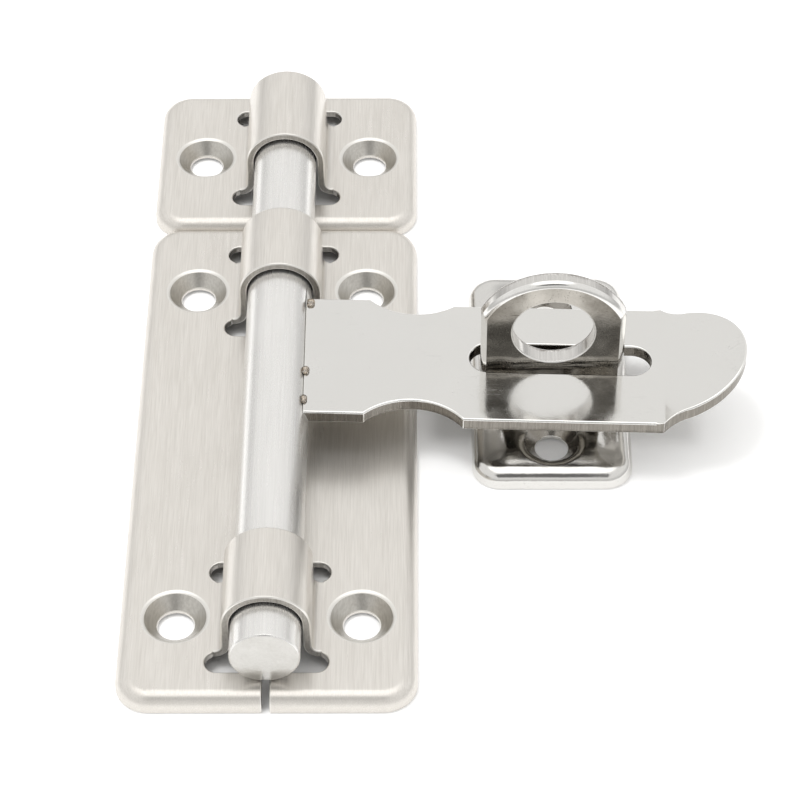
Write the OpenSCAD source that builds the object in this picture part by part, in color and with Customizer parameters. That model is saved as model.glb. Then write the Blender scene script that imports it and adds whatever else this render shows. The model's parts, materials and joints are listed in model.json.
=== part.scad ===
// Padlockable round bolt with its hasp, keeper and staple, shown locked.
// X runs along the hasp, Y along the bolt towards the keeper, Z up from
// the mounting face. The origin is the middle of the main plate.

/* [Plates] */
// Width of the main plate and of the keeper
plate_w = 40; // [38:0.5:44]
// Length of the main plate
plate_l = 91.5; // [88:0.5:100]
// Length of the keeper
keeper_l = 31; // [30:0.5:36]
// Gap between the main plate and the keeper
plate_gap = 0.2; // [0.2:0.1:5]
// Height of both plates over the mounting face
plate_h = 2.8; // [2.6:0.1:3.2]
// Thickness of the sheet
sheet_t = 1.1; // [1:0.05:1.3]
// Radius of the plates' turned-down edge
rim_r = 2; // [1.6:0.1:2.4]
// Radius of the plates' corners, seen from above
corner_r = 4.6; // [3.5:0.1:6]

/* [Screw holes] */
// Distance between the main plate's holes, across
main_hole_x = 25; // [24:0.5:27]
// Distance between the main plate's holes, along
main_hole_y = 63; // [60:0.5:66]
// Distance between the keeper's holes
keeper_hole_x = 25.4; // [24:0.2:27]
// Diameter of the screw holes
hole_d = 5; // [4.4:0.1:5.2]
// Diameter of the countersinks
sink_d = 8.8; // [8.4:0.1:9.2]

/* [Bolt] */
// Diameter of the round bolt
bolt_d = 9.4; // [9:0.1:9.6]
// Height of the bolt's axis
bolt_z = 7.75; // [7.7:0.05:7.9]
// Place of the bolt's front end along Y
bolt_front_y = -42.75; // [-44:0.25:-40]
// How far the bolt reaches into the keeper's loop
bolt_engage = 11.2; // [8:0.1:11.4]
// Chamfer of the bolt's ends
bolt_chamfer = 0.2; // [0.15:0.05:0.8]

/* [Loops] */
// Room between the bolt and the side of a loop
loop_side_gap = 0.15; // [0.1:0.05:0.25]
// Room between the bolt and the crown of a loop
loop_top_gap = 0.45; // [0.2:0.05:0.6]
// Radius where a loop's legs turn out into the plate
loop_foot_r = 1.2; // [0.8:0.1:1.6]
// Length of the main plate's loops along the bolt
main_loop_l = 12.2; // [11:0.2:13]
// Length of the keeper's loop along the bolt
keeper_loop_l = 15; // [13:0.2:15.4]
// Width of the slits that free a loop from its plate
slit_w = 3.4; // [2.8:0.1:3.6]
// Width over the rounded ends of those slits
slit_span = 16.4; // [15.8:0.1:17.2]
// Width of the saw cut in the front edge
saw_cut_w = 1; // [0.8:0.1:1.4]

/* [Hasp] */
// Thickness of the hasp
hasp_t = 1.9; // [1.7:0.1:2]
// Height of the hasp's upper face
hasp_top_z = 10.4; // [10.2:0.05:10.5]
// Reach of the hasp from the bolt's axis
hasp_reach = 66.3; // [64:0.1:68]
// Half of the hasp's width at its root
hasp_root_half = 11.4; // [10.8:0.1:11.6]
// Half of the hasp's width beside the slot
hasp_mid_half = 11.3; // [11:0.1:12]
// Skew of the hasp as it is welded on, in degrees
hasp_skew = 2; // [0:0.1:2.8]
// Angle at which the tip turns up, in degrees
tip_angle = 20; // [12:1:20]
// Length of the slot
slot_l = 25.8; // [24.5:0.1:26]
// Width of the slot
slot_w = 5.6; // [5.2:0.1:5.8]

/* [Staple] */
// Width of the staple's base
base_w = 22.7; // [22:0.1:24]
// Length of the staple's base
base_l = 41.2; // [40:0.2:44]
// Height of the staple's base
base_h = 2.8; // [2.6:0.1:3]
// Diameter of the base's screw holes
base_hole_d = 4.6; // [4.2:0.1:5]
// Distance between the base's screw holes
base_hole_y = 26.6; // [25:0.1:28]
// Width of the eye
eye_w = 20.2; // [19:0.1:20.6]
// Thickness of the eye
eye_t = 2.5; // [2.2:0.1:2.6]
// Height of the eye over the mounting face
eye_top_z = 26.6; // [25:0.1:28]
// Diameter of the padlock hole
eye_hole_d = 11.5; // [9:0.1:12]

/* [Hidden] */

cut = 1;                    // how far a cutter runs past the face it opens
arc_fn = 48;                // sides of the round outlines

// plates and loops
keeper_y = plate_l / 2 + plate_gap + keeper_l / 2;
bolt_r = bolt_d / 2;
loop_in_r = bolt_r + loop_side_gap;
loop_out_r = loop_in_r + sheet_t;
loop_mid_z = bolt_z + bolt_r + loop_top_gap - loop_in_r;
foot_half = loop_out_r + loop_foot_r;
land_h = 0.5;               // cylindrical end of a screw hole
dimple_wall = sheet_t * 1.2; // metal left round a screw hole
dimple_lap = 0.2;           // overlap of a dimple's cone with its neck
dimple_drop = 0.2;          // room between that cone and the sheet's face

// bolt
bolt_rear_y = keeper_y - keeper_loop_l / 2 + bolt_engage;
turn_gap = 0.03;            // room for the hasp's root round the bolt

// hasp, drawn from the bolt's axis outwards
root_y = 9.7;               // place of the hasp's middle line along Y, at root_x
root_x = 5.6;               // point that the skew turns about
root_shift = 0.85;          // offset of the root and the necks from that line
root_edge = 3.6;            // inner end of the hasp, before the bolt is cut out
neck_r = 9.3;               // radius of the necks
neck_x = 19.5;
neck_half = 8.65;           // half width at the neck
mid_end = 54.7;             // corner beside the tip
tip_r = 9.7;                // radius of the rounded tip
tip_x = hasp_reach - tip_r;
cove_r = 5;                 // hollow between the corner and the tip
cove_l = 3.6;               // length of that hollow along the hasp
bend_x = 53.6;              // where the tip starts to turn up
bend_r = 4;                 // inner radius of that bend
slot_x = 27.4;              // inner end of the slot
slot_v = 0.95;              // offset of the slot from that line
weld_r = 0.7;
weld_l = 1.4;
weld_x = 4.3;
weld_drop = 0.3;            // depth of the beads' axis under the hasp's face
weld_places = [-8.2, -2.6, 11.1];

// steps of the hasp's drawn arcs
neck_steps = 28;
cove_steps = 6;
tip_steps = 24;
bend_steps = 6;

// staple
staple_x = 39.05;
base_y = 14.5;
base_rim_r = 2;
base_corner_r = 4;
eye_front_y = 7.75;
eye_hole_z = 17.3;
eye_crown_r = 11;           // radius of the eye's rounded head
eye_bend_r = 1.6;           // inner radius where the eye turns into its foot
foot_l = 2 * (base_y - eye_front_y);

// Section through the rounded edge of a lid, reach wide.
module lid_section(reach, h, edge_r) {
    square([reach - edge_r, h]);
    square([reach, h - edge_r]);
    translate([reach - edge_r, h - edge_r])
        intersection() {
            circle(edge_r, $fn = arc_fn);
            square(edge_r);
        }
}

// A solid lid with a rounded upper edge: its middle, four straight edges and
// four turned corners, which meet face to face.
module lid(w, l, h, edge_r, r) {
    inner_w = w - 2 * r;
    inner_l = l - 2 * r;
    translate([-inner_w / 2, -inner_l / 2, 0]) cube([inner_w, inner_l, h]);
    for (x = [0, 1])
        mirror([x, 0, 0]) translate([inner_w / 2, inner_l / 2, 0]) rotate([90, 0, 0])
            linear_extrude(inner_l) lid_section(r, h, edge_r);
    for (y = [0, 1])
        mirror([0, y, 0]) translate([-inner_w / 2, inner_l / 2, 0]) rotate([90, 0, 90])
            linear_extrude(inner_w) lid_section(r, h, edge_r);
    for (x = [0, 1], y = [0, 1])
        mirror([x, 0, 0]) mirror([0, y, 0]) translate([inner_w / 2, inner_l / 2, 0])
            rotate_extrude(angle = 90, $fn = 2 * arc_fn)
                lid_section(r, h, edge_r);
}

// A pressed tray: a lid with its rim turned down all round.
module tray(w, l, h, t, edge_r, r) {
    difference() {
        lid(w, l, h, edge_r, r);
        translate([0, 0, -cut])
            lid(w - 2 * t, l - 2 * t, h - t + cut, edge_r - t, r - t);
    }
}

// Metal pushed down round a screw hole, under the sheet.
module dimple(h, d) {
    sink = (sink_d - d) / 2;
    translate([0, 0, h - sink - land_h])
        cylinder(d = d + 2 * dimple_wall, h = land_h, $fn = arc_fn);
    translate([0, 0, h - sink - dimple_lap])
        cylinder(r1 = d / 2 + dimple_wall,
                 r2 = sink_d / 2 + dimple_wall - dimple_drop,
                 h = sink + dimple_lap - 3 * dimple_drop, $fn = arc_fn);
}

// Countersunk screw hole, as a cutter.
module screw_hole(h, d) {
    sink = (sink_d - d) / 2;
    translate([0, 0, -cut]) cylinder(d = d, h = h + 2 * cut, $fn = arc_fn);
    translate([0, 0, h - sink])
        cylinder(d1 = d, d2 = sink_d, h = sink, $fn = arc_fn);
    translate([0, 0, h]) cylinder(d = sink_d, h = cut, $fn = arc_fn);
}

// Section of a loop across the bolt: crown, legs and turned-out feet.
module loop_section() {
    foot_z = plate_h + loop_foot_r;
    difference() {
        union() {
            translate([0, loop_mid_z]) circle(loop_out_r, $fn = 2 * arc_fn);
            translate([-loop_out_r, foot_z])
                square([2 * loop_out_r, loop_mid_z - foot_z]);
        }
        translate([0, loop_mid_z]) circle(loop_in_r, $fn = 2 * arc_fn);
        translate([-loop_in_r, foot_z - cut])
            square([2 * loop_in_r, loop_mid_z - foot_z + cut]);
        translate([-plate_w / 2, 0]) square([plate_w, foot_z]);
    }
    for (side = [0, 1])
        mirror([side, 0])
            translate([foot_half, foot_z])
                intersection() {
                    difference() {
                        circle(loop_foot_r + sheet_t, $fn = arc_fn);
                        circle(loop_foot_r, $fn = arc_fn);
                    }
                    translate([-plate_w, -plate_w]) square(plate_w);
                }
}

// A loop standing on its plate, centred at y.
module loop(y, l) {
    translate([0, y + l / 2, 0]) rotate([90, 0, 0])
        linear_extrude(l) loop_section();
}

// The opening that a loop leaves, with a rounded slit at each end.
module loop_opening(y, l) {
    translate([0, y, plate_h - sheet_t - cut])
        linear_extrude(sheet_t + 2 * cut) {
            square([2 * foot_half, l + slit_w], center = true);
            for (side = [-1, 1])
                translate([0, side * (l + slit_w) / 2]) slit_shape();
        }
}

module slit_shape() {
    square([slit_span - slit_w, slit_w], center = true);
    for (side = [-1, 1])
        translate([side * (slit_span - slit_w) / 2, 0])
            circle(d = slit_w, $fn = arc_fn);
}

module main_plate() {
    rows = [-main_hole_y / 2, main_hole_y / 2];
    front_slit_y = rows[0] - main_loop_l / 2 - slit_w / 2;
    color("gainsboro") {
        difference() {
            union() {
                tray(plate_w, plate_l, plate_h, sheet_t, rim_r, corner_r);
                for (x = [-1, 1], y = rows)
                    translate([x * main_hole_x / 2, y, 0]) dimple(plate_h, hole_d);
            }
            for (x = [-1, 1], y = rows)
                translate([x * main_hole_x / 2, y, 0]) screw_hole(plate_h, hole_d);
            for (y = rows) loop_opening(y, main_loop_l);
            translate([-saw_cut_w / 2, -plate_l / 2 - cut, -cut])
                cube([saw_cut_w, front_slit_y + plate_l / 2 + cut, plate_h + 2 * cut]);
        }
        for (y = rows) loop(y, main_loop_l);
    }
}

module keeper_plate() {
    color("gainsboro") {
        difference() {
            union() {
                translate([0, keeper_y, 0])
                    tray(plate_w, keeper_l, plate_h, sheet_t, rim_r, corner_r);
                for (x = [-1, 1])
                    translate([x * keeper_hole_x / 2, keeper_y, 0])
                        dimple(plate_h, hole_d);
            }
            for (x = [-1, 1])
                translate([x * keeper_hole_x / 2, keeper_y, 0])
                    screw_hole(plate_h, hole_d);
            loop_opening(keeper_y, keeper_loop_l);
        }
        loop(keeper_y, keeper_loop_l);
    }
}

module bolt_bar() {
    half = [[0, 0], [bolt_r - bolt_chamfer, 0], [bolt_r, bolt_chamfer]];
    l = bolt_rear_y - bolt_front_y;
    far = [[bolt_r, l - bolt_chamfer], [bolt_r - bolt_chamfer, l], [0, l]];
    color("lightgray")
        translate([0, bolt_front_y, bolt_z]) rotate([-90, 0, 0])
            rotate_extrude($fn = 2 * arc_fn) polygon(concat(half, far));
}

// Points along an arc, from angle a0 to a1 in degrees.
function arc(centre, r, a0, a1, n) =
    [for (i = [0:n]) let (a = a0 + (a1 - a0) * i / n) centre + r * [cos(a), sin(a)]];

function flipped(points) =
    [for (i = [len(points) - 1:-1:0]) [points[i][0], -points[i][1]]];

// One edge of the hasp: root, neck, corner, hollow and half the tip. Its root and
// neck are moved outwards by shift.
function hasp_edge(shift) =
    let (neck_c = [neck_x, neck_half + neck_r + shift],
         root_half = hasp_root_half + shift,
         root_a = asin((neck_c[1] - root_half) / neck_r),
         mid_a = asin((neck_c[1] - hasp_mid_half) / neck_r),
         corner = [mid_end, hasp_mid_half],
         join_x = mid_end + cove_l,
         join = [join_x, sqrt(pow(tip_r, 2) - pow(join_x - tip_x, 2))],
         rise = join - corner,
         lift = sqrt(pow(cove_r, 2) - pow(norm(rise) / 2, 2)),
         cove_c = (corner + join) / 2 + lift * [-rise[1], rise[0]] / norm(rise),
         cove_from = atan2(corner[1] - cove_c[1], corner[0] - cove_c[0]),
         cove_to = atan2(join[1] - cove_c[1], join[0] - cove_c[0]))
    concat([[root_edge, root_half]],
           arc(neck_c, neck_r, 180 + root_a, 360 - mid_a, neck_steps),
           arc(cove_c, cove_r, cove_from, cove_to, cove_steps),
           arc([tip_x, 0], tip_r, atan2(join[1], join[0] - tip_x), 0, tip_steps));

// Outline of the hasp from above, before its slot is cut.
module hasp_outline() {
    far = hasp_edge(root_shift);
    near = hasp_edge(-root_shift);
    polygon(concat(far, flipped([for (i = [0:len(near) - 2]) near[i]])));
}

// Side view of the hasp: flat up to the bend, then turned up.
module hasp_side() {
    centre = [bend_x, hasp_t + bend_r];
    far = hasp_reach + cut - bend_x;
    ahead = far * [cos(tip_angle), sin(tip_angle)];
    under = arc(centre, bend_r + hasp_t, -90, tip_angle - 90, bend_steps);
    over = arc(centre, bend_r, tip_angle - 90, -90, bend_steps);
    polygon(concat([[0, 0]], under, [under[bend_steps] + ahead, over[0] + ahead],
                   over, [[0, hasp_t]]));
}

module slot_shape() {
    translate([slot_x + slot_w / 2, slot_v - slot_w / 2])
        square([slot_l - slot_w, slot_w]);
    for (x = [slot_x + slot_w / 2, slot_x + slot_l - slot_w / 2])
        translate([x, slot_v]) circle(d = slot_w, $fn = arc_fn);
}

// Turns a shape drawn along X into the place of the skewed hasp.
module as_welded() {
    translate([root_x, root_y, 0]) rotate([0, 0, -hasp_skew])
        translate([-root_x, 0, 0]) children();
}

module bolt_room() {
    translate([0, bolt_front_y, bolt_z]) rotate([-90, 0, 0])
        cylinder(r = bolt_r + turn_gap, h = bolt_rear_y - bolt_front_y,
                 $fn = 2 * arc_fn);
}

module hasp_plate() {
    side_half = hasp_mid_half + cut;
    color("whitesmoke")
        difference() {
            as_welded()
                intersection() {
                    translate([0, side_half, hasp_top_z - hasp_t]) rotate([90, 0, 0])
                        linear_extrude(2 * side_half) hasp_side();
                    translate([0, 0, bolt_z]) linear_extrude(eye_top_z)
                        difference() {
                            hasp_outline();
                            slot_shape();
                        }
                }
            bolt_room();
        }
}

// Three short beads that join the hasp's root to the bolt.
module hasp_welds() {
    color("rosybrown")
        difference() {
            as_welded()
                for (y = weld_places)
                    translate([weld_x, y - weld_l / 2, hasp_top_z - weld_drop])
                        rotate([-90, 0, 0])
                            cylinder(r = weld_r, h = weld_l, $fn = arc_fn);
            bolt_room();
            hasp_plate();
        }
}

module staple_base() {
    color("silver")
        translate([staple_x, base_y, 0])
            difference() {
                union() {
                    tray(base_w, base_l, base_h, sheet_t, base_rim_r, base_corner_r);
                    for (y = [-1, 1])
                        translate([0, y * base_hole_y / 2, 0])
                            dimple(base_h, base_hole_d);
                }
                for (y = [-1, 1])
                    translate([0, y * base_hole_y / 2, 0])
                        screw_hole(base_h, base_hole_d);
            }
}

// Front view of the eye: straight sides under a rounded head.
module eye_front() {
    crown_z = eye_top_z - eye_crown_r;
    difference() {
        translate([-eye_w / 2, base_h]) square([eye_w, eye_top_z - base_h]);
        difference() {
            translate([-eye_w, crown_z]) square([2 * eye_w, eye_w]);
            translate([0, crown_z]) circle(eye_crown_r, $fn = 2 * arc_fn);
        }
        translate([0, eye_hole_z]) circle(d = eye_hole_d, $fn = 2 * arc_fn);
    }
}

// Side view of the eye and its foot, y to the right.
module eye_side() {
    out_r = eye_bend_r + eye_t;
    translate([0, base_h + out_r]) square([eye_t, eye_top_z - base_h - out_r]);
    translate([out_r, base_h]) square([foot_l - out_r, eye_t]);
    intersection() {
        translate([out_r, base_h + out_r])
            difference() {
                circle(out_r, $fn = 2 * arc_fn);
                circle(eye_bend_r, $fn = arc_fn);
            }
        translate([0, base_h]) square(out_r);
    }
}

module staple_eye() {
    color("silver")
        translate([staple_x, eye_front_y, 0])
            difference() {
                translate([-eye_w / 2, 0, 0]) rotate([90, 0, 90])
                    linear_extrude(eye_w) eye_side();
                translate([0, eye_t + cut, 0]) rotate([90, 0, 0])
                    linear_extrude(eye_t + 2 * cut)
                        difference() {
                            translate([-eye_w, eye_hole_z - eye_hole_d])
                                square([2 * eye_w, 2 * eye_top_z]);
                            union() {
                                eye_front();
                                translate([-eye_w, 0])
                                    square([2 * eye_w, base_h + eye_bend_r + eye_t]);
                            }
                        }
            }
}

main_plate();
keeper_plate();
bolt_bar();
hasp_plate();
hasp_welds();
staple_base();
staple_eye();
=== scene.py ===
"""Looks of a padlockable round bolt: plates, bolt, hasp and staple on a pale table."""
import json
import logging
import math
from collections.abc import Callable, Iterable
from dataclasses import dataclass, field
from enum import Enum

import bmesh
import bpy
from mathutils import Matrix, Vector


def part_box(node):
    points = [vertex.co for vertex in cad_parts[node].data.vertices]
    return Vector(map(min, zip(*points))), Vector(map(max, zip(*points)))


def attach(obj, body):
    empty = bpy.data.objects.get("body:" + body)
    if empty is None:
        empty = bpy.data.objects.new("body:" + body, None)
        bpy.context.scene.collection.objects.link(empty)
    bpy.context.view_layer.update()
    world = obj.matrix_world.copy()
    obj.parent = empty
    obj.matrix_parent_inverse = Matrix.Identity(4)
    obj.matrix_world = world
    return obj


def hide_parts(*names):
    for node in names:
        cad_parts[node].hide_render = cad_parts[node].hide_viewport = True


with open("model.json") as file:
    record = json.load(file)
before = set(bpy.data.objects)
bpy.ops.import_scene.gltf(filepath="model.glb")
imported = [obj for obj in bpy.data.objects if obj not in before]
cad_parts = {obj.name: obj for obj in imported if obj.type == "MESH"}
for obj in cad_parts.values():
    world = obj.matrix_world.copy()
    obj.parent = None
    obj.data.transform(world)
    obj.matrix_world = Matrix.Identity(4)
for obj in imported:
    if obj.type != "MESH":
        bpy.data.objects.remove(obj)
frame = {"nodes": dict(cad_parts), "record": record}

log = logging.getLogger("hasp")

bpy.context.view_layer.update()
MM = 0.001

# Loose corners nearer than this are joined, and faces flatter than this become one.
WELD_GAP = 1e-6
FLAT = math.radians(0.4)

# An edge of a pressing that turns more than this is rolled, and one of the bolt softened.
CREASE = math.radians(33)
SHARP = math.radians(30)

# Shares of a face's normal along an axis: 1 is square to the axis, 0 is along it.
LEVEL = 0.7
SLOPE = 0.5
STEEP = 0.2
TOP = 0.95
SQUARE = 0.9

BEVEL_STEPS = 3

Colour = tuple[float, float, float]


class Axis(Enum):
    """Directions in the part's frame that a grain can run in."""

    X = 0
    Y = 1
    Z = 2


class Wire:
    """A shader socket that numbers and other wires can be added to or multiplied with."""

    def __init__(self, graph: "Graph", socket: bpy.types.NodeSocket) -> None:
        """Wraps socket, whose Math nodes are made in graph."""
        self.graph = graph
        self.socket = socket

    def __add__(self, other: "Wire | float") -> "Wire":
        """Sum of the two values."""
        return self.graph.math("ADD", self, other)

    __radd__ = __add__

    def __sub__(self, other: "Wire | float") -> "Wire":
        """Difference of the two values."""
        return self.graph.math("SUBTRACT", self, other)

    def __rsub__(self, other: "Wire | float") -> "Wire":
        """Difference of the two values, the other way round."""
        return self.graph.math("SUBTRACT", other, self)

    def __mul__(self, other: "Wire | float") -> "Wire":
        """Product of the two values."""
        return self.graph.math("MULTIPLY", self, other)

    __rmul__ = __mul__

    def __truediv__(self, other: "Wire | float") -> "Wire":
        """Quotient of the two values."""
        return self.graph.math("DIVIDE", self, other)

    def __pow__(self, other: "Wire | float") -> "Wire":
        """This value to the power of other."""
        return self.graph.math("POWER", self, other)

    def __abs__(self) -> "Wire":
        """This value without its sign."""
        return self.graph.math("ABSOLUTE", self)

    def kept(self) -> "Wire":
        """This value held between 0 and 1."""
        return self.graph.math("ADD", self, 0.0, clamp=True)

    def step(self, low: float, high: float) -> "Wire":
        """A smooth step of this value.

        Args:
            low: value at which the step starts at 0.
            high: value at which the step has reached 1.

        Returns:
            The step, between 0 and 1.
        """
        node = self.graph.node("ShaderNodeMapRange", {"interpolation_type": "SMOOTHSTEP"},
                               {"Value": self, "From Min": low, "From Max": high})
        return Wire(self.graph, node.outputs["Result"])


class Graph:
    """The nodes of one material or world."""

    def __init__(self, tree: bpy.types.NodeTree) -> None:
        """Empties tree and keeps it."""
        tree.nodes.clear()
        self.tree = tree

    def node(self, kind: str, settings: dict | None = None,
             inputs: dict | None = None) -> bpy.types.Node:
        """Makes a node.

        Args:
            kind: the node's type.
            settings: its own settings, which are set first.
            inputs: values, sockets or wires by the name or index of the socket.

        Returns:
            The node.
        """
        made = self.tree.nodes.new(kind)
        for name, value in (settings or {}).items():
            setattr(made, name, value)
        for name, value in (inputs or {}).items():
            value = value.socket if isinstance(value, Wire) else value
            if isinstance(value, bpy.types.NodeSocket):
                self.tree.links.new(value, made.inputs[name])
            else:
                made.inputs[name].default_value = value
        return made

    def math(self, operation: str, a: Wire | float, b: Wire | float | None = None,
             clamp: bool = False) -> Wire:
        """Makes a Math node.

        Args:
            operation: the node's operation.
            a: first value.
            b: second value, if the operation takes one.
            clamp: holds the result between 0 and 1.

        Returns:
            The result.
        """
        inputs = {0: a} if b is None else {0: a, 1: b}
        made = self.node("ShaderNodeMath", {"operation": operation, "use_clamp": clamp},
                         inputs)
        return Wire(self, made.outputs[0])

    def mix(self, share: Wire | float, a: Wire | Colour, b: Wire | Colour) -> Wire:
        """Mixes two colours.

        Args:
            share: how much of b there is.
            a: first colour.
            b: second colour.

        Returns:
            The mixed colour.
        """
        sides = {i: (*c, 1.0) if isinstance(c, tuple) else c for i, c in ((6, a), (7, b))}
        made = self.node("ShaderNodeMix", {"data_type": "RGBA"}, {0: share, **sides})
        return Wire(self, made.outputs[2])

    def place(self, stretch: Colour, centre: Colour = (0.0, 0.0, 0.0)) -> Wire:
        """Object coordinates, moved to a centre and then stretched.

        Args:
            stretch: how many pattern units there are to a metre, along each axis.
            centre: point that becomes the pattern's origin.

        Returns:
            The coordinates.
        """
        spot = self.node("ShaderNodeTexCoord").outputs["Object"]
        moved = self.node("ShaderNodeVectorMath", {"operation": "SUBTRACT"},
                          {0: spot, 1: centre})
        scaled = self.node("ShaderNodeVectorMath", {"operation": "MULTIPLY"},
                           {0: moved.outputs[0], 1: stretch})
        return Wire(self, scaled.outputs[0])

    def coordinate(self, axis: Axis) -> Wire:
        """One object coordinate.

        Args:
            axis: which of the three.

        Returns:
            The coordinate, in metres.
        """
        spot = self.node("ShaderNodeTexCoord").outputs["Object"]
        parts = self.node("ShaderNodeSeparateXYZ", None, {0: spot})
        return Wire(self, parts.outputs[axis.value])

    def noise(self, where: Wire, detail: float = 2.0, rough: float = 0.5) -> Wire:
        """Soft noise, whose lumps are one unit of its coordinates wide.

        Args:
            where: the coordinates.
            detail: number of finer layers.
            rough: strength of each finer layer against the one before.

        Returns:
            The noise, mostly between 0.3 and 0.7.
        """
        made = self.node("ShaderNodeTexNoise", None,
                         {"Vector": where, "Scale": 1.0, "Detail": detail,
                          "Roughness": rough})
        return Wire(self, made.outputs[0])

    def lumps(self, size: float, detail: float = 2.0, rough: float = 0.5) -> Wire:
        """Soft noise whose lumps are as wide in all directions.

        Args:
            size: width of a lump, in metres.
            detail: number of finer layers.
            rough: strength of each finer layer against the one before.

        Returns:
            The noise, mostly between 0.3 and 0.7.
        """
        return self.noise(self.place((1 / size,) * 3), detail, rough)

    def hairs(self, along: Axis, width: float, length: float, detail: float = 2.0) -> Wire:
        """Noise drawn out along an axis.

        Args:
            along: direction of the streaks.
            width: width of a streak, in metres.
            length: length of a streak, in metres.
            detail: number of finer layers.

        Returns:
            The noise.
        """
        stretch = tuple(1 / (length if axis is along else width) for axis in Axis)
        return self.noise(self.place(stretch), detail)

    def scratches(self, turn: float, width: float, length: float, rarity: float) -> Wire:
        """Thin lines of limited length, at an angle across the X-Y plane.

        Args:
            turn: angle of the scratches from X, in radians.
            width: spacing of the pattern across a scratch, in metres.
            length: length of a scratch, in metres.
            rarity: 0 to 1, and the scratches are fewer near 1.

        Returns:
            1 in a scratch and 0 beside it.
        """
        spot = self.node("ShaderNodeTexCoord").outputs["Object"]
        turned = self.node("ShaderNodeMapping", None,
                           {"Vector": spot, "Rotation": (0.0, 0.0, turn),
                            "Scale": (1 / length, 1 / width, 1 / width)})
        lines = self.noise(Wire(self, turned.outputs[0]), 1.0)
        line = 1 - abs(lines - 0.5).step(0.0, 0.012)
        patch = self.lumps(length, 1.0)
        return line * patch.step(0.35 + 0.3 * rarity, 0.45 + 0.3 * rarity)

    def bump(self, height: Wire, depth: float, strength: float = 1.0,
             under: bpy.types.NodeSocket | None = None) -> bpy.types.NodeSocket:
        """Turns a height from 0 to 1 into a normal.

        Args:
            height: the height.
            depth: distance from 0 to 1, in metres.
            strength: share of the effect.
            under: normal that this one is added to.

        Returns:
            The normal's socket.
        """
        inputs = {"Height": height, "Distance": depth, "Strength": strength}
        if under is not None:
            inputs["Normal"] = under
        return self.node("ShaderNodeBump", None, inputs).outputs[0]

    def metal(self, colour: Wire, roughness: Wire, normal: bpy.types.NodeSocket,
              metallic: float = 1.0) -> None:
        """Ends the material in bare metal.

        Args:
            colour: colour of the metal.
            roughness: roughness of the metal.
            normal: normal of its surface.
            metallic: below 1 where fine grain scatters some of the light.
        """
        shader = self.node("ShaderNodeBsdfPrincipled", None,
                           {"Base Color": colour, "Roughness": roughness,
                            "Metallic": metallic, "Normal": normal})
        self.node("ShaderNodeOutputMaterial", None, {"Surface": shader.outputs[0]})


@dataclass(frozen=True)
class Finish:
    """A bare metal finish. The subclasses say what it is patterned with."""

    name: str
    light: Colour
    dark: Colour
    roughness: float

    def paint(self, graph: Graph) -> None:
        """Makes the finish's nodes in graph. Each subclass has its own."""
        raise NotImplementedError

    def material(self) -> bpy.types.Material:
        """The finish as a material, made once and then shared.

        Returns:
            The material.
        """
        found = bpy.data.materials.get(self.name)
        if found is None:
            found = bpy.data.materials.new(self.name)
            found.use_nodes = True
            self.paint(Graph(found.node_tree))
        return found


@dataclass(frozen=True)
class Brushed(Finish):
    """Hairline steel: fine streaks one way, faint clouds and a few stray scratches."""

    along: Axis = Axis.Y
    hair: float = 0.16 * MM
    run: float = 14 * MM
    depth: float = 0.003 * MM
    contrast: float = 0.8
    rim_z: float = 0.0
    rim_rough: float = 0.0
    metallic: float = 1.0

    def paint(self, graph: Graph) -> None:
        """Makes the finish's nodes.

        Args:
            graph: the material's nodes.
        """
        fine = graph.hairs(self.along, self.hair, self.run)
        broad = graph.hairs(self.along, 5 * self.hair, 3 * self.run)
        clouds = graph.lumps(9 * MM, 3.0)
        marks = graph.scratches(0.5, 0.8 * MM, 5 * MM, 0.75)
        streak = ((fine - 0.5) * 1.6 + (broad - 0.5) * 0.5) * self.contrast
        rim = 1 - graph.coordinate(Axis.Z).step(self.rim_z - 0.5 * MM, self.rim_z)
        shade = (0.5 + streak + (clouds - 0.5) * 0.4 + marks * 0.2).kept()
        rough = (self.roughness + (0.5 - fine) * 0.10 + (clouds - 0.5) * 0.08
                 + marks * 0.06 + rim * self.rim_rough).kept()
        grooves = graph.bump(fine, self.depth)
        graph.metal(graph.mix(shade, self.dark, self.light), rough,
                    graph.bump(clouds, 0.01 * MM, 0.5, grooves), self.metallic)


@dataclass(frozen=True)
class Polished(Finish):
    """Bright plated steel: a slight ripple, fine pits, smudges and light scratches."""

    ripple: float = 0.004 * MM
    pits: float = 0.5
    smudge: float = 0.10
    cloud: float = 0.9

    def form(self, graph: Graph) -> bpy.types.NodeSocket | None:
        """Normal of the surface's broad form, or None where the mesh has it."""
        return None

    def painted_dark_reflection(self, graph: Graph) -> Wire | float:
        """Share of painted dark reflection by place, from 0 to 1."""
        return 0.0

    def paint(self, graph: Graph) -> None:
        """Makes the finish's nodes.

        Args:
            graph: the material's nodes.
        """
        swell = graph.lumps(4 * MM)
        grit = graph.lumps(0.22 * MM)
        smear = graph.lumps(7 * MM, 4.0, 0.6)
        across = graph.scratches(0.35, 0.9 * MM, 6 * MM, 0.7)
        along = graph.scratches(1.25, 0.7 * MM, 4 * MM, 0.8)
        marks = (across + along).kept()
        speck = grit.step(0.63, 0.70) * self.pits
        # Painted dark reflection, where a subclass has it, is taken off the shade.
        shade = (0.75 + (smear - 0.5) * self.cloud + (grit - 0.5) * 0.4 - speck
                 - marks * 0.3 - self.painted_dark_reflection(graph)).kept()
        rough = (self.roughness + smear.step(0.45, 0.70) * self.smudge + marks * 0.15
                 + speck * 0.2).kept()
        waves = graph.bump(swell, self.ripple * 10, 1.0, self.form(graph))
        graph.metal(graph.mix(shade, self.dark, self.light), rough,
                    graph.bump(grit, self.ripple, 1.0, waves))


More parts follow.
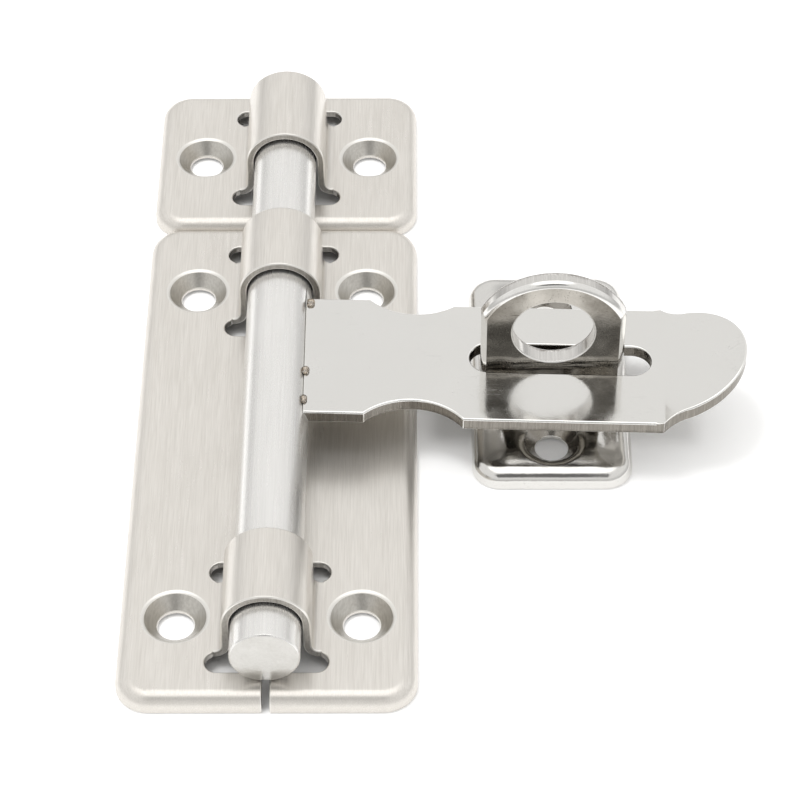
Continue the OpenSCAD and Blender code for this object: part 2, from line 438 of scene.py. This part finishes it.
@dataclass(frozen=True)
class Domed(Polished):
    """A polished face in the X-Z plane that falls away round its middle and at a fold,
    with painted dark reflection at its sides and under the fold.
    """

    centre: Colour = (0.0, 0.0, 0.0)
    reach: float = 11 * MM
    rise: float = 0.5 * MM
    fold_z: float = 11.6 * MM

    def form(self, graph: Graph) -> bpy.types.NodeSocket | None:
        """Normal of the dome and of the ridge over its fold.

        Args:
            graph: the material's nodes.

        Returns:
            The normal's socket.
        """
        out = graph.place((1 / self.reach, 0.0, 1 / self.reach), self.centre)
        length = graph.node("ShaderNodeVectorMath", {"operation": "LENGTH"}, {0: out})
        away = Wire(graph, length.outputs["Value"])
        wobble = (graph.noise(graph.place((1 / (3 * MM), 0.0, 0.0)), 1.0) - 0.5) * MM
        height = graph.coordinate(Axis.Z) + wobble
        ridge = height.step(self.fold_z - 1.4 * MM, self.fold_z) \
            - height.step(self.fold_z, self.fold_z + 1.2 * MM) * 0.5
        return graph.bump(1 - away ** 4.0 + ridge * 0.6, self.rise)

    def painted_dark_reflection(self, graph: Graph) -> Wire | float:
        """Painted dark reflection towards both sides and under the fold.

        Args:
            graph: the material's nodes.

        Returns:
            Share of painted dark reflection, from 0 to 1.
        """
        side = abs(graph.coordinate(Axis.X) - self.centre[0])
        lumps = (graph.lumps(4 * MM, 3.0) - 0.5) * (6 * MM)
        under = 1 - graph.coordinate(Axis.Z).step(self.fold_z - 1 * MM, self.fold_z)
        up = graph.coordinate(Axis.Z).step(self.centre[2], self.centre[2] + 7 * MM)
        return ((side + lumps).step(2 * MM, 9 * MM) * (0.5 + up * 0.6)
                + under * 0.5).kept()


@dataclass(frozen=True)
class Pillowed(Polished):
    """A polished upper face that falls away softly towards its rim."""

    low: Colour = (0.0, 0.0, 0.0)
    high: Colour = (0.0, 0.0, 0.0)
    hard: float = 1.2 * MM
    soft: float = 5.5 * MM
    fall: float = 1.0 * MM

    def form(self, graph: Graph) -> bpy.types.NodeSocket | None:
        """Normal of the soft fall.

        Args:
            graph: the material's nodes.

        Returns:
            The normal's socket.
        """
        height: Wire | float = 1.0
        for axis in (Axis.X, Axis.Y):
            place = graph.coordinate(axis)
            low, high = self.low[axis.value], self.high[axis.value]
            height = height * (place - low).step(self.hard, self.soft) \
                * (high - place).step(self.hard, self.soft)
        return graph.bump(height, self.fall)


@dataclass(frozen=True)
class Sheared(Finish):
    """A cut through sheet: streaks across the thickness, burnished above and torn below.

    The tear grows from torn_from to torn_to along the axis across. Where those are far
    outside the piece, the cut is half torn all over.
    """

    along: Axis = Axis.Z
    torn_from: float = -1.0
    torn_to: float = 1.0
    across: Axis = Axis.Z
    streak: float = 1.2

    def paint(self, graph: Graph) -> None:
        """Makes the finish's nodes.

        Args:
            graph: the material's nodes.
        """
        streaks = graph.hairs(self.along, 0.22 * MM, 4 * MM, 3.0)
        grain = graph.lumps(0.35 * MM, 4.0, 0.65)
        depth = graph.coordinate(self.across)
        wander = (graph.lumps(2.5 * MM, 3.0) - 0.5) * MM
        torn = (depth + wander).step(self.torn_from, self.torn_to)
        shade = (0.75 + (streaks - 0.5) * self.streak - torn * 0.55
                 + (grain - 0.5) * torn * 2.2).kept()
        rough = (self.roughness + torn * 0.28 + (streaks - 0.5) * 0.2).kept()
        lines = graph.bump(streaks, 0.012 * MM * self.streak)
        graph.metal(graph.mix(shade, self.dark, self.light), rough,
                    graph.bump(grain * torn, 0.12 * MM, 1.0, lines))


@dataclass(frozen=True)
class Turned(Finish):
    """A lathe-cut end face: fine rings about its middle."""

    centre: Colour = (0.0, 0.0, 0.0)
    pitch: float = 0.16 * MM

    def paint(self, graph: Graph) -> None:
        """Makes the finish's nodes.

        Args:
            graph: the material's nodes.
        """
        around = graph.place((1.0, 0.0, 1.0), self.centre)
        length = graph.node("ShaderNodeVectorMath", {"operation": "LENGTH"}, {0: around})
        radius = Wire(graph, length.outputs["Value"])
        rings = graph.math("SINE", radius * (2 * math.pi / self.pitch)) * 0.5 + 0.5
        clouds = graph.lumps(2.5 * MM, 4.0, 0.6)
        grit = graph.lumps(0.3 * MM)
        shade = (0.55 + (rings - 0.5) * 0.18 + (clouds - 0.5) * 0.9
                 + (grit - 0.5) * 0.5).kept()
        rough = (self.roughness + (clouds - 0.5) * 0.2).kept()
        cut = graph.bump(rings, 0.0015 * MM)
        graph.metal(graph.mix(shade, self.dark, self.light), rough,
                    graph.bump(clouds, 0.05 * MM, 1.0, cut))


@dataclass(frozen=True)
class WeldTint(Finish):
    """A small weld: dull grey with a straw heat colour."""

    straw: Colour = (0.64, 0.53, 0.40)

    def paint(self, graph: Graph) -> None:
        """Makes the finish's nodes.

        Args:
            graph: the material's nodes.
        """
        lumps = graph.lumps(0.6 * MM, 4.0, 0.6)
        grit = graph.lumps(0.15 * MM, 3.0)
        tint = graph.mix(lumps.step(0.42, 0.62), self.dark, self.straw)
        colour = graph.mix(grit.step(0.45, 0.7), tint, self.light)
        rough = (self.roughness + (grit - 0.5) * 0.4).kept()
        graph.metal(colour, rough, graph.bump(lumps + grit * 0.4, 0.15 * MM))


PLATE = Brushed("brushed_plate", (0.815, 0.785, 0.74), (0.67, 0.64, 0.595), 0.30,
                run=5 * MM, contrast=1.0, rim_z=2.7 * MM, rim_rough=0.1, metallic=0.8)
CONE = Brushed("pressed_cone", (0.66, 0.64, 0.60), (0.46, 0.44, 0.40), 0.36,
               hair=0.30 * MM, run=5 * MM)
# Painted shade: undersides and inward walls are rougher steel painted dark for the shade
# under the plates and inside the loops.
SHADED_BACK = Brushed("shaded_underside", (0.27, 0.255, 0.235), (0.15, 0.14, 0.125), 0.50,
               hair=0.4 * MM, run=8 * MM)
PLATE_LIP = Polished("rolled_plate_lip", (0.87, 0.85, 0.81), (0.72, 0.70, 0.66), 0.28,
                     cloud=0.3)
PLATE_CUT = Sheared("sheared_plate", (0.66, 0.64, 0.60), (0.36, 0.34, 0.31), 0.32)
BOLT_SIDE = Brushed("drawn_bolt", (0.89, 0.88, 0.86), (0.77, 0.76, 0.74), 0.28,
                    hair=0.20 * MM, run=9 * MM, depth=0.002 * MM, metallic=0.85)
HASP_FACE = Polished("bright_hasp", (0.835, 0.825, 0.80), (0.68, 0.67, 0.645), 0.11,
                     ripple=0.002 * MM, pits=0.3, cloud=0.12)
# Painted shade: the hasp's underside is darker than its face, for the shade under it that
# the loops and bolt mirror.
HASP_SHADED_BACK = Polished("shaded_hasp_underside", (0.60, 0.585, 0.555), (0.42, 0.40, 0.37), 0.14,
                     cloud=0.5)
HASP_LIP = Polished("rolled_hasp_lip", (0.93, 0.925, 0.90), (0.74, 0.73, 0.70), 0.12,
                    cloud=0.3)
DARK_CONE = Polished("dark_cone", (0.42, 0.40, 0.365), (0.22, 0.20, 0.18), 0.20, pits=0.6)
STAPLE_LIP = Polished("rolled_staple_lip", (0.90, 0.89, 0.87), (0.68, 0.67, 0.64), 0.12)
WELD = WeldTint("tinted_weld", (0.82, 0.80, 0.76), (0.34, 0.29, 0.24), 0.28)


class Coat(Enum):
    """What a face of a piece is, which decides its finish."""

    FACE = "face"
    LIP = "rolled lip"
    CONE = "countersink"
    CUT = "cut edge"
    BACK = "back"


@dataclass
class Skin:
    """A piece made from a copy of a CAD node, with its edges rolled.

    The copy's loose triangles are joined, its flat faces become whole, and a live Bevel
    rounds each edge by its own share of roll. A faceted piece keeps the small angles
    between its level faces.
    """

    node: str
    name: str
    body: str
    slot: str
    roll: float
    finishes: dict[Coat, Finish]
    share: Callable[[bmesh.types.BMEdge], float]
    coat_of: Callable[[bmesh.types.BMFace], Coat]
    faceted: bool = False

    def build(self) -> bpy.types.Object:
        """Makes the piece in the node's place.

        Returns:
            The piece, which rides on its body.
        """
        source = frame["nodes"][self.node]
        mesh = bpy.data.meshes.new(self.name)
        shape = bmesh.new()
        shape.from_mesh(source.data)
        bmesh.ops.remove_doubles(shape, verts=shape.verts, dist=WELD_GAP)
        bmesh.ops.dissolve_limit(shape, angle_limit=FLAT, verts=shape.verts,
                                 edges=shape.edges)
        weight = shape.edges.layers.float.new("bevel_weight_edge")
        for edge in shape.edges:
            turned = edge.is_manifold and edge.calc_face_angle() > CREASE
            level = all(abs(face.normal.z) > LEVEL for face in edge.link_faces)
            edge.smooth = not turned and not (self.faceted and level)
            if turned and edge.is_convex:
                edge[weight] = self.share(edge)
        slots = list(self.finishes)
        for face in shape.faces:
            face.smooth = True
            face.material_index = slots.index(self.coat_of(face))
        shape.to_mesh(mesh)
        shape.free()
        piece = bpy.data.objects.new(self.name, mesh)
        bpy.context.scene.collection.objects.link(piece)
        for finish in self.finishes.values():
            mesh.materials.append(finish.material())
        self.round_edges(piece)
        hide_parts(self.node)
        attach(piece, self.body)
        log.info("%s: %d faces before its edges are rolled", self.name, len(mesh.polygons))
        return piece

    def round_edges(self, piece: bpy.types.Object) -> None:
        """Adds the live Bevel, and the normals that keep flat faces flat.

        Args:
            piece: the piece, whose edges have their bevel weights.
        """
        bevel = piece.modifiers.new("rolled edges", "BEVEL")
        bevel.limit_method = "WEIGHT"
        bevel.width = self.roll
        bevel.segments = BEVEL_STEPS
        bevel.use_clamp_overlap = False
        bevel.loop_slide = False
        bevel.material = list(self.finishes).index(Coat.LIP)
        bevel.harden_normals = False
        even = piece.modifiers.new("flat faces", "WEIGHTED_NORMAL")
        even.keep_sharp = True
        even.weight = 100


def middle(edge: bmesh.types.BMEdge) -> Vector:
    """Middle of an edge."""
    return (edge.verts[0].co + edge.verts[1].co) / 2


def mount_holes(name: str) -> list[Vector]:
    """Places of a screw mount's holes.

    Args:
        name: the mount.

    Returns:
        One point for each hole, at the height of the mounting face.
    """
    mount = next(m for m in frame["record"]["mounts"] if m["name"] == name)
    spacing = [mount["dims"].get(f"spacing_{axis}_mm", 0.0) * MM / 2 for axis in "xy"]
    signs = [(x, y) for x in ((-1, 1) if spacing[0] else (0,))
             for y in ((-1, 1) if spacing[1] else (0,))]
    centre = Vector(mount["pos_m"])
    return [centre + Vector((x * spacing[0], y * spacing[1], 0)) for x, y in signs]


@dataclass
class PressedPlate:
    """A pressed plate with a lanced loop, or the staple's pressed base."""

    node: str
    holes: list[Vector]
    slot: str
    face: Finish
    cone: Finish
    lip: Finish
    cut: Finish
    # painted shade for the underside and the inward walls
    shaded_back: Finish
    sink_r: float = 4.4 * MM
    roll: float = 0.30 * MM
    plain_roll: float = 0.70
    hole_roll: float = 0.50
    rim: float = 0.5 * MM
    box: tuple[Vector, Vector] = field(init=False)

    def __post_init__(self) -> None:
        """Looks up the node's box."""
        self.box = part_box(self.node)

    def near_hole(self, spot: Vector, reach: float) -> bool:
        """True if spot is within reach of a screw hole's axis."""
        return any((spot - hole).to_2d().length < reach for hole in self.holes)

    def share(self, edge: bmesh.types.BMEdge) -> float:
        """Share of the roll that an edge gets.

        Args:
            edge: an edge of the plate.

        Returns:
            All of it round the top of a countersink, and little at the bottom of one.
        """
        if not self.near_hole(middle(edge), self.sink_r + 0.2 * MM):
            return self.plain_roll
        above = any(face.normal.z > TOP for face in edge.link_faces)
        return 1.0 if above else self.hole_roll

    def coat_of(self, face: bmesh.types.BMFace) -> Coat:
        """Tells what a face is.

        Args:
            face: a face of the plate.

        Returns:
            The coat: plain sheet, cone, cut edge, or back painted dark as shade.
        """
        steep = abs(face.normal.z) < STEEP
        if face.normal.z < -STEEP:
            return Coat.BACK
        if self.near_hole(face.calc_center_median(), self.sink_r):
            return Coat.CONE if STEEP < face.normal.z < TOP else Coat.FACE
        if steep and self.is_cut(face):
            return Coat.CUT
        return Coat.BACK if steep and self.faces_inwards(face) else Coat.FACE

    def faces_inwards(self, face: bmesh.types.BMFace) -> bool:
        """True if a steep face looks towards the middle of the plate."""
        out = face.calc_center_median() - (self.box[0] + self.box[1]) / 2
        return out.to_2d().dot(face.normal.to_2d()) < 0

    def is_cut(self, face: bmesh.types.BMFace) -> bool:
        """Tells a cut through the sheet from the plate's own rim.

        Args:
            face: a steep face of the plate.

        Returns:
            True if the face is a cut.
        """
        low, high = self.box
        spot = face.calc_center_median()
        edge = min(spot.x - low.x, high.x - spot.x, spot.y - low.y, high.y - spot.y)
        return abs(face.normal.y) > SQUARE and edge > self.rim

    def build(self) -> bpy.types.Object:
        """Makes the plate as one piece.

        Returns:
            The piece.
        """
        finishes = {Coat.FACE: self.face, Coat.LIP: self.lip, Coat.CONE: self.cone,
                    Coat.CUT: self.cut, Coat.BACK: self.shaded_back}
        return Skin(self.node, self.node + "_pressed", "mounted", self.slot, self.roll,
                    finishes, self.share, self.coat_of).build()


@dataclass
class RoundBolt:
    """The turned and drawn round bolt."""

    edge: float = 0.2 * MM
    steps: int = 96
    merge: float = 0.002 * MM
    softened: float = 0.4

    def build(self) -> bpy.types.Object:
        """Turns the bolt from its half profile.

        Returns:
            The bolt, which rides on the bolt's body.
        """
        low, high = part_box("bolt_bar")
        radius, length = (high.x - low.x) / 2, high.y - low.y
        mesh = bpy.data.meshes.new("round_bolt")
        inner = radius - self.edge
        points = [(0.0, length), (inner, length), (radius, length - self.edge),
                  (radius, self.edge), (inner, 0.0), (0.0, 0.0)]
        rails = [(r, 0.0, z) for r, z in points]
        mesh.from_pydata(rails, [(i, i + 1) for i in range(len(rails) - 1)], [])
        bolt = bpy.data.objects.new("round_bolt", mesh)
        bpy.context.scene.collection.objects.link(bolt)
        turn = bolt.modifiers.new("turned", "SCREW")
        turn.steps = turn.render_steps = self.steps
        turn.use_merge_vertices = True
        turn.merge_threshold = self.merge
        bake_modifiers(bolt)
        bolt.data.transform(Matrix.Translation((low.x + radius, high.y, low.z + radius))
                            @ Matrix.Rotation(math.radians(90), 4, "X"))
        self.dress(bolt, Vector((low.x + radius, low.y, low.z + radius)))
        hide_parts("bolt_bar")
        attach(bolt, "bolt")
        log.info("round_bolt: %d faces", len(bolt.data.polygons))
        return bolt

    def dress(self, bolt: bpy.types.Object, centre: Vector) -> None:
        """Gives the bolt its finishes and rounds its ends.

        Args:
            bolt: the turned bolt, in its place.
            centre: middle of its front end.
        """
        end = Turned("turned_end", (0.70, 0.69, 0.665), (0.50, 0.485, 0.455), 0.20,
                     centre=tuple(centre))
        for finish in (BOLT_SIDE, end):
            bolt.data.materials.append(finish.material())
        for face in bolt.data.polygons:
            face.use_smooth = True
            face.material_index = 1 if abs(face.normal.y) > SQUARE else 0
        soft = bolt.modifiers.new("soft edges", "BEVEL")
        soft.limit_method = "ANGLE"
        soft.angle_limit = SHARP
        soft.width = self.edge * self.softened
        soft.segments = BEVEL_STEPS
        even = bolt.modifiers.new("flat faces", "WEIGHTED_NORMAL")
        even.keep_sharp = True


def bake_modifiers(piece: bpy.types.Object) -> None:
    """Replaces a piece's mesh with the one that its modifiers make of it.

    Args:
        piece: the piece, which loses its modifiers.
    """
    bpy.context.view_layer.update()
    shaped = piece.evaluated_get(bpy.context.evaluated_depsgraph_get())
    mesh = bpy.data.meshes.new_from_object(shaped)
    piece.modifiers.clear()
    piece.data = mesh


@dataclass
class Hasp:
    """The slotted hasp and the welds that hold it to the bolt."""

    roll: float = 0.26 * MM
    bend_x: float = 54.2 * MM
    bend_reach: float = 3.5 * MM
    burr_share: float = 0.35
    bend_share: float = 0.2
    bead_rise: float = 0.4 * MM
    bead_roll: float = 0.3 * MM

    def share(self, edge: bmesh.types.BMEdge) -> float:
        """Share of the roll that an edge gets.

        Args:
            edge: an edge of the hasp.

        Returns:
            A narrow share on the burred lower edges and in the bend.
        """
        upper = any(face.normal.z > LEVEL for face in edge.link_faces)
        away = min(abs(middle(edge).x - self.bend_x) / self.bend_reach, 1.0)
        along = self.bend_share + (1 - self.bend_share) * away
        return along if upper else self.burr_share * along

    def coat_of(self, face: bmesh.types.BMFace) -> Coat:
        """Tells what a face is.

        Args:
            face: a face of the hasp.

        Returns:
            The coat: bright face, sheared edge, or underside painted dark as shade.
        """
        if face.normal.z < -SLOPE:
            return Coat.BACK
        return Coat.CUT if face.normal.z < SLOPE else Coat.FACE

    def build(self) -> list[bpy.types.Object]:
        """Makes the hasp's plate and its welds.

        Returns:
            The two pieces.
        """
        low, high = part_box("hasp_plate")
        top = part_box("hasp_welds")[1].z - self.bead_rise
        cut = Sheared("sheared_hasp", (0.31, 0.29, 0.26), (0.11, 0.10, 0.085), 0.26,
                      torn_from=top - 1.2 * MM, torn_to=top - 2.2 * MM)
        finishes = {Coat.FACE: HASP_FACE, Coat.LIP: HASP_LIP, Coat.CUT: cut,
                    Coat.BACK: HASP_SHADED_BACK}
        plate = Skin("hasp_plate", "slotted_hasp", "hasp", "hasp_steel", self.roll,
                     finishes, self.share, self.coat_of, faceted=True).build()
        log.info("hasp reaches from %.4f to %.4f m", low.x, high.x)
        return [plate, self.welds()]

    def welds(self) -> bpy.types.Object:
        """Makes the weld beads, lumpy and tinted.

        Returns:
            The beads as one piece.
        """
        return Skin("hasp_welds", "weld_beads", "hasp", "weld", self.bead_roll,
                    {Coat.FACE: WELD, Coat.LIP: WELD}, lambda edge: 1.0,
                    lambda face: Coat.FACE).build()


@dataclass
class StapleEye:
    """The upright eye with its foot."""

    roll: float = 0.8 * MM
    hole_z: float = 17.3 * MM
    hole_reach: float = 6.5 * MM
    foot_z: float = 7.8 * MM
    hole_share: float = 0.25
    back_share: float = 0.3
    box: tuple[Vector, Vector] = field(init=False)

    def __post_init__(self) -> None:
        """Looks up the eye's box."""
        self.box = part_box("staple_eye")

    @property
    def middle_x(self) -> float:
        """Middle of the eye's width."""
        return (self.box[0].x + self.box[1].x) / 2

    def share(self, edge: bmesh.types.BMEdge) -> float:
        """Share of the roll that an edge gets.

        Args:
            edge: an edge of the eye.

        Returns:
            A wide share round the front face, and a narrow one behind and in the hole.
        """
        front = max(-face.normal.y for face in edge.link_faces)
        spot = middle(edge)
        out = Vector((spot.x - self.middle_x, spot.z - self.hole_z))
        if out.length < self.hole_reach:
            return self.hole_share
        return self.back_share + (1 - self.back_share) * max(front, 0.0)

    def coat_of(self, face: bmesh.types.BMFace) -> Coat:
        """Tells what a face is.

        Args:
            face: a face of the eye.

        Returns:
            The coat: bright face, foot included, or sheared rim.
        """
        upright = abs(face.normal.y) > LEVEL
        foot = (abs(face.normal.x) < 0.1 and face.normal.z > 0.3
                and face.calc_center_median().z < self.foot_z)
        return Coat.FACE if upright or foot else Coat.CUT

    def build(self) -> bpy.types.Object:
        """Makes the eye as one piece.

        Returns:
            The piece.
        """
        front_y = self.box[0].y
        rim = Sheared("sheared_eye", (0.84, 0.825, 0.80), (0.30, 0.28, 0.26), 0.15,
                      along=Axis.Y, across=Axis.Y, torn_from=front_y + 1.8 * MM,
                      torn_to=front_y + 2.4 * MM, streak=0.5)
        # Painted reflection: the eye's colours are kept dark, and the dark one shows where
        # the painted dark reflection falls.
        face = Domed("domed_eye", (0.62, 0.59, 0.54), (0.19, 0.175, 0.15), 0.17,
                     ripple=0.006 * MM, pits=0.7, cloud=1.1,
                     centre=(self.middle_x, 0.0, self.hole_z))
        return Skin("staple_eye", "upright_eye", "mounted", "staple_steel", self.roll,
                    {Coat.FACE: face, Coat.LIP: STAPLE_LIP, Coat.CUT: rim}, self.share,
                    self.coat_of).build()


@dataclass(frozen=True)
class Patch:
    """A round patch of the light tent that is brighter or darker than the rest."""

    way: Colour
    strength: float
    outer: float
    inner: float


@dataclass(frozen=True)
class PaintedShadow:
    """A rectangle of the table whose glow is taken out as a painted shadow of the part, in
    metres.
    """

    low: tuple[float, float]
    high: tuple[float, float]
    soft: float

    def share(self, graph: Graph) -> Wire:
        """Share of the rectangle in a spot.

        Args:
            graph: the table's nodes.

        Returns:
            1 inside the rectangle and 0 outside it, with a soft rim.
        """
        inside: Wire | float = 1.0
        for axis in (Axis.X, Axis.Y):
            place = graph.coordinate(axis)
            low, high = self.low[axis.value], self.high[axis.value]
            inside = inside * (place - low).step(0.0, self.soft) \
                * (high - place).step(0.0, self.soft)
        return inside


@dataclass
class Studio:
    """The table, the light tent around it, open where the viewer looks in, and a lamp.

    The table is pale, glows faintly near the part as painted light, with painted shadows
    cut out of that glow, and dims far from it. The tent is dimmer, by low, near the
    horizon than above low_top.
    """

    table_r: float = 4.0
    near_r: float = 0.09
    far_r: float = 0.40
    pale: float = 0.94
    dim: float = 0.55
    painted_glow: float = 0.16
    tent: float = 0.90
    low: float = 0.62
    low_top: float = 0.45
    lamp_size: float = 0.25
    lamp_power: float = 3.0
    lamp_place: Colour = (-0.25, 0.08, 1.0)
    # Painted shadows: rectangles under the plates and the hasp where the table's glow is
    # taken out.
    painted_shadows: tuple[PaintedShadow, ...] = (
        PaintedShadow((-9.5 * MM, -45.5 * MM), (9.5 * MM, 76.5 * MM), 0.8 * MM),
        PaintedShadow((20 * MM, 1 * MM), (62 * MM, 26 * MM), 4 * MM),
    )
    patches: tuple[Patch, ...] = (
        Patch((0.0, 0.03, 1.0), 1.60, 31.0, 19.0),
        Patch((0.0, -0.695, 0.719), 0.17, 19.0, 11.0),
    )

    def build(self) -> None:
        """Makes the table, the tent and the one lamp."""
        self.table()
        self.surroundings()
        self.lamp()

    def table(self) -> None:
        """Makes the pale table."""
        shape = bmesh.new()
        bmesh.ops.create_circle(shape, cap_ends=True, segments=96, radius=self.table_r)
        mesh = bpy.data.meshes.new("table")
        shape.to_mesh(mesh)
        shape.free()
        table = bpy.data.objects.new("table", mesh)
        bpy.context.scene.collection.objects.link(table)
        material = bpy.data.materials.new("pale_table")
        material.use_nodes = True
        graph = Graph(material.node_tree)
        out = graph.node("ShaderNodeVectorMath", {"operation": "LENGTH"},
                         {0: graph.place((1.0, 1.0, 0.0))})
        far = Wire(graph, out.outputs["Value"]).step(self.near_r, self.far_r)
        colour = graph.mix(far, (self.pale,) * 3, (self.dim,) * 3)
        # Painted light: the table glows near the part, and each painted shadow takes the
        # glow out.
        painted_glow = (1 - far) * self.painted_glow
        for painted_shadow in self.painted_shadows:
            painted_glow = painted_glow * (1 - painted_shadow.share(graph))
        lit = graph.mix(painted_glow, (0.0, 0.0, 0.0), (1.0, 1.0, 1.0))
        shader = graph.node("ShaderNodeBsdfPrincipled", None,
                            {"Base Color": colour, "Roughness": 0.9,
                             "Specular IOR Level": 0.1,
                             "Emission Color": lit, "Emission Strength": 1.0})
        graph.node("ShaderNodeOutputMaterial", None, {"Surface": shader.outputs[0]})
        mesh.materials.append(material)

    def surroundings(self) -> None:
        """Makes the world: an even tent with its patches, and white where it is seen."""
        world = bpy.data.worlds.new("studio")
        bpy.context.scene.world = world
        world.use_nodes = True
        graph = Graph(world.node_tree)
        way = graph.node("ShaderNodeTexCoord").outputs["Generated"]
        parts = graph.node("ShaderNodeSeparateXYZ", None, {0: way})
        height = Wire(graph, parts.outputs[2])
        strength = (height.step(0.0, self.low_top) * (1 - self.low) + self.low) * self.tent
        for patch in self.patches:
            facing = graph.node("ShaderNodeVectorMath", {"operation": "DOT_PRODUCT"},
                                {0: way, 1: tuple(Vector(patch.way).normalized())})
            share = Wire(graph, facing.outputs["Value"]).step(
                math.cos(math.radians(patch.outer)), math.cos(math.radians(patch.inner)))
            strength = strength * (1 - share) + share * patch.strength
        seen = Wire(graph, graph.node("ShaderNodeLightPath").outputs["Is Camera Ray"])
        shown = strength + seen * (1.0 - strength)
        back = graph.node("ShaderNodeBackground", None,
                          {"Color": (1.0, 0.995, 0.985, 1.0), "Strength": shown})
        graph.node("ShaderNodeOutputWorld", None, {"Surface": back.outputs[0]})

    def lamp(self) -> None:
        """Hangs a soft lamp overhead on the left, which only casts the shadows."""
        light = bpy.data.lights.new("shadow lamp", "AREA")
        light.shape = "SQUARE"
        light.size = self.lamp_size
        light.energy = self.lamp_power
        hung = bpy.data.objects.new("shadow lamp", light)
        hung.location = self.lamp_place
        hung.rotation_euler = hung.location.to_track_quat("Z", "Y").to_euler()
        hung.visible_camera = False
        hung.visible_glossy = False
        bpy.context.scene.collection.objects.link(hung)


@dataclass
class Viewpoint:
    """The camera, high in front of the plates."""

    place: Colour = (0.01941, -0.28606, 0.30715)
    pitch: float = math.radians(45.907)
    yaw: float = math.radians(-0.362)
    roll: float = math.radians(-0.361)
    lens: float = 133.04
    sensor: float = 36.0

    def build(self) -> bpy.types.Object:
        """Makes the camera and looks through it.

        Returns:
            The camera.
        """
        data = bpy.data.cameras.new("viewpoint")
        data.lens = self.lens
        data.sensor_width = self.sensor
        data.clip_start, data.clip_end = 0.02, 20.0
        ahead = Vector((math.sin(self.yaw) * math.cos(self.pitch),
                        math.cos(self.yaw) * math.cos(self.pitch), -math.sin(self.pitch)))
        across = Vector((math.cos(self.yaw), -math.sin(self.yaw), 0.0))
        over = across.cross(ahead)
        right = math.cos(self.roll) * across + math.sin(self.roll) * over
        up = math.cos(self.roll) * over - math.sin(self.roll) * across
        camera = bpy.data.objects.new("viewpoint", data)
        turned = Matrix((right, up, -ahead)).transposed().to_4x4()
        camera.matrix_world = Matrix.Translation(self.place) @ turned
        bpy.context.scene.collection.objects.link(camera)
        bpy.context.scene.camera = camera
        return camera


def plates() -> Iterable[PressedPlate]:
    """Sizes and finishes of the three pressings.

    Returns:
        The main plate, the keeper and the staple's base, one by one.
    """
    for node, mount in (("main_plate", "main_screws"), ("keeper_plate", "keeper_screws")):
        yield PressedPlate(node, mount_holes(mount), "plate_steel", PLATE, CONE, PLATE_LIP,
                           PLATE_CUT, SHADED_BACK)
    low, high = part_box("staple_base")
    base = Pillowed("bright_base", (0.80, 0.79, 0.765), (0.60, 0.585, 0.56), 0.12,
                    ripple=0.006 * MM, pits=0.6, cloud=0.5, low=tuple(low),
                    high=tuple(high))
    yield PressedPlate("staple_base", mount_holes("staple_screws"), "staple_steel",
                       base, DARK_CONE, STAPLE_LIP, base, SHADED_BACK, roll=0.9 * MM,
                       plain_roll=0.25, hole_roll=0.15)


def main() -> None:
    """Builds the whole scene."""
    logging.basicConfig(level=logging.INFO, format="%(name)s: %(message)s")
    bpy.context.scene.view_settings.view_transform = "Standard"
    Viewpoint().build()
    for plate in plates():
        plate.build()
    RoundBolt().build()
    Hasp().build()
    StapleEye().build()
    Studio().build()


if __name__ == "__main__":
    main()
